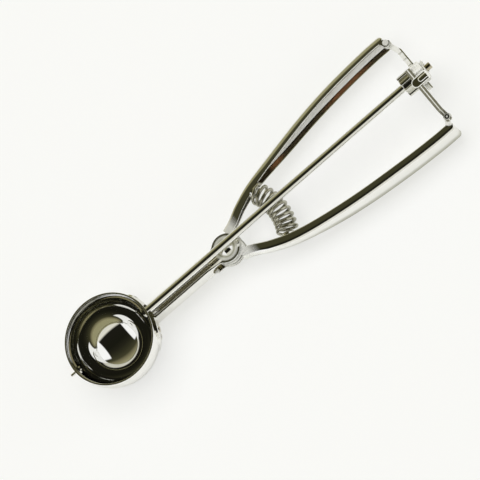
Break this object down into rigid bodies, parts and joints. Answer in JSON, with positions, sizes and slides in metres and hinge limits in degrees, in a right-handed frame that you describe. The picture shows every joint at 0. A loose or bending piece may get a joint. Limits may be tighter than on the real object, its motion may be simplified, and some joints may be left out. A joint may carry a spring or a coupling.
{
  "type": "lever ice cream scoop",
  "caption": "Ice cream scoop with a round steel bowl, a sweeping release blade and two sprung squeeze handles that turn it through racks and a pinion.",
  "frame": {"origin": "centre of the bowl's ball, on the shaft's axis", "axes": "+X along the shaft towards the handles' tips, +Z out of the bowl's mouth, +Y towards the upper handle"},
  "size_m": [0.1996, 0.056, 0.0268],
  "materials": {
    "bowl_steel": "mirror polished stainless steel",
    "handle_steel": "polished stainless sheet, fine drawn texture",
    "shaft_steel": "polished drawn rod",
    "spring_steel": "bright spring steel",
    "gear_steel": "bright stamped steel",
    "pin_steel": "turned steel"
  },
  "bodies": {
    "root": {"bowl": "bowl_steel", "neck_channel": "handle_steel", "saddle_welds": "pin_steel", "pivot_rivet": "pin_steel", "pivot_spacer": "pin_steel", "pivot_washers": "pin_steel", "return_spring": "spring_steel", "rack_guide": "gear_steel"},
    "spindle": {"shaft": "shaft_steel", "scraper_blade": "spring_steel", "blade_pivot_pin": "pin_steel", "blade_washer": "pin_steel", "shaft_end_cap": "pin_steel", "pinion": "gear_steel"},
    "upper_lever": {"upper_handle": "handle_steel", "upper_spring_seat": "pin_steel", "upper_hinge_pin": "pin_steel"},
    "lower_lever": {"lower_handle": "handle_steel", "lower_spring_seat": "pin_steel", "lower_hinge_pin": "pin_steel"},
    "upper_slide": {"upper_rack": "gear_steel"},
    "lower_slide": {"lower_rack": "gear_steel"}
  },
  "joints": [
    {"name": "squeeze", "type": "hinge", "parent": "root", "child": "upper_lever", "pos_m": [0.0614, 0, -0.0082], "axis": [0, 0, -1], "range_deg": [0, 6.9], "stiffness_Nm_per_rad": 6, "springref_deg": -2.86, "deforming": ["return_spring"]},
    {"name": "lower_squeeze", "type": "hinge", "parent": "root", "child": "lower_lever", "pos_m": [0.0614, 0, -0.0082], "axis": [0, 0, 1], "range_deg": [0, 6.9]},
    {"name": "shaft_spin", "type": "hinge", "parent": "root", "child": "spindle", "pos_m": [0, 0, 0], "axis": [-1, 0, 0], "range_deg": [0, 169]},
    {"name": "upper_rack_hinge", "type": "hinge", "parent": "upper_lever", "child": "upper_slide", "pos_m": [0.1681, 0.022, -0.0055], "axis": [0, 0, 1], "range_deg": [0, 6.9]},
    {"name": "lower_rack_hinge", "type": "hinge", "parent": "lower_lever", "child": "lower_slide", "pos_m": [0.1681, -0.022, -0.0028], "axis": [0, 0, -1], "range_deg": [0, 6.9]}
  ],
  "couplings": [
    {"joint": "lower_squeeze", "follows": "squeeze", "ratio": 1},
    {"joint": "shaft_spin", "follows": "squeeze", "ratio": 24.492},
    {"joint": "upper_rack_hinge", "follows": "squeeze", "ratio": 1},
    {"joint": "lower_rack_hinge", "follows": "squeeze", "ratio": 1}
  ]
}
